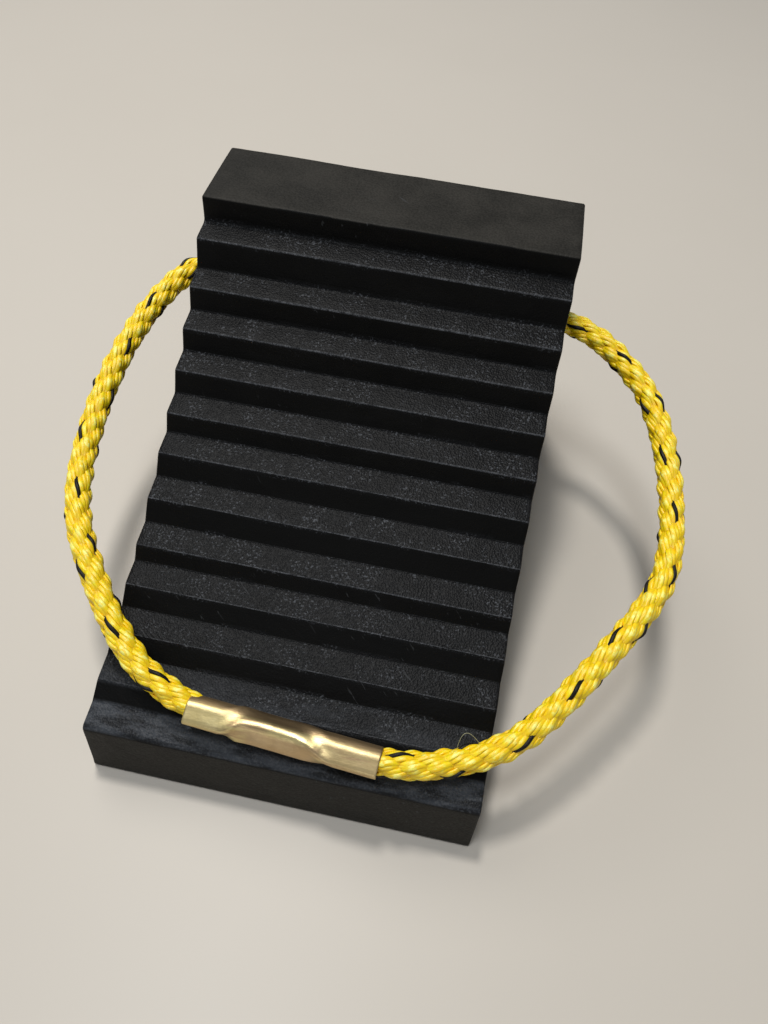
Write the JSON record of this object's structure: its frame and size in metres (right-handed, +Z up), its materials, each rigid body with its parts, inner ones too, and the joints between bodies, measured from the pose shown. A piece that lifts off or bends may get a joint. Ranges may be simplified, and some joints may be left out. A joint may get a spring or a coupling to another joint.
{
  "type": "wheel chock",
  "caption": "Moulded rubber wedge wheel chock with a stepped, hollowed tyre face, a flat top and a braided rope carrying loop that runs through a cross bore and is joined by a crimped sleeve.",
  "frame": {"origin": "middle of the rubber body's base, on the ground", "axes": "+Z up; +X across the chock along its steps; -Y towards the toe that goes under the tyre; +Y towards the back"},
  "size_m": [0.2877, 0.2833, 0.155],
  "materials": {
    "rubber": "matte moulded rubber with a fine pebbled grain on the treads",
    "rope": "shiny yellow braided polypropylene with a black tracer strand",
    "sleeve": "bright pale gold, drawn and crimped thin tube"
  },
  "bodies": {
    "chock": {"chock_body": "rubber"},
    "rope_loop": {"rope": "rope", "crimp_sleeve": "sleeve"}
  },
  "joints": [
    {"name": "rope_swing", "type": "hinge", "parent": "chock", "child": "rope_loop", "pos_m": [0, 0.0995, 0.0975], "axis": [-1, 0, 0], "range_deg": [0, 215]}
  ]
}
